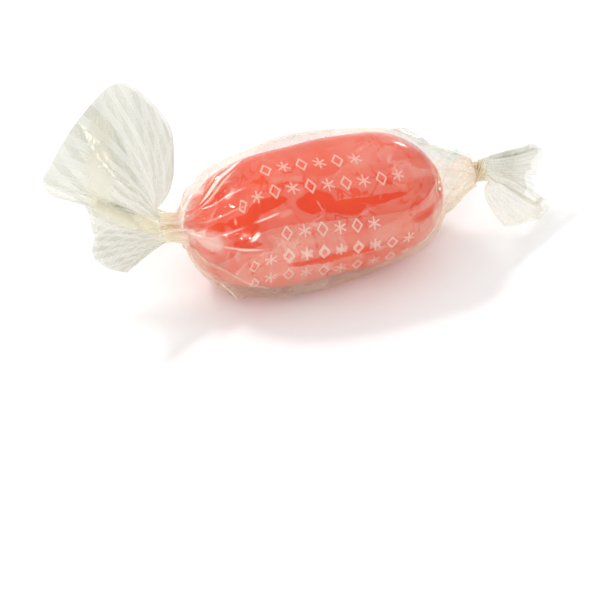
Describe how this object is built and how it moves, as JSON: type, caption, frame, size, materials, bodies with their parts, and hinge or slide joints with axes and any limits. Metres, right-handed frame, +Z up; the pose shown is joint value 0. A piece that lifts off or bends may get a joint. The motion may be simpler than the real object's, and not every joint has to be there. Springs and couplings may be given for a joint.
{
  "type": "wrapped boiled sweet",
  "caption": "Oblong red boiled sweet in a clear film wrapper, twisted at both ends into pleated fans, lying on a table.",
  "frame": {"origin": "centre of the flat patch that the sweet rests on, under the middle of its length", "axes": "+X along the sweet towards the smaller fan, -Y the front with the film's free edge, +Z up"},
  "size_m": [0.0621, 0.0221, 0.0234],
  "materials": {
    "boiled_sweet": "glossy, a little translucent",
    "wrapper_film": "clear crisp film with white printed stripes"
  },
  "bodies": {
    "root": {"wrapped_sweet": "boiled_sweet"}
  },
  "joints": []
}
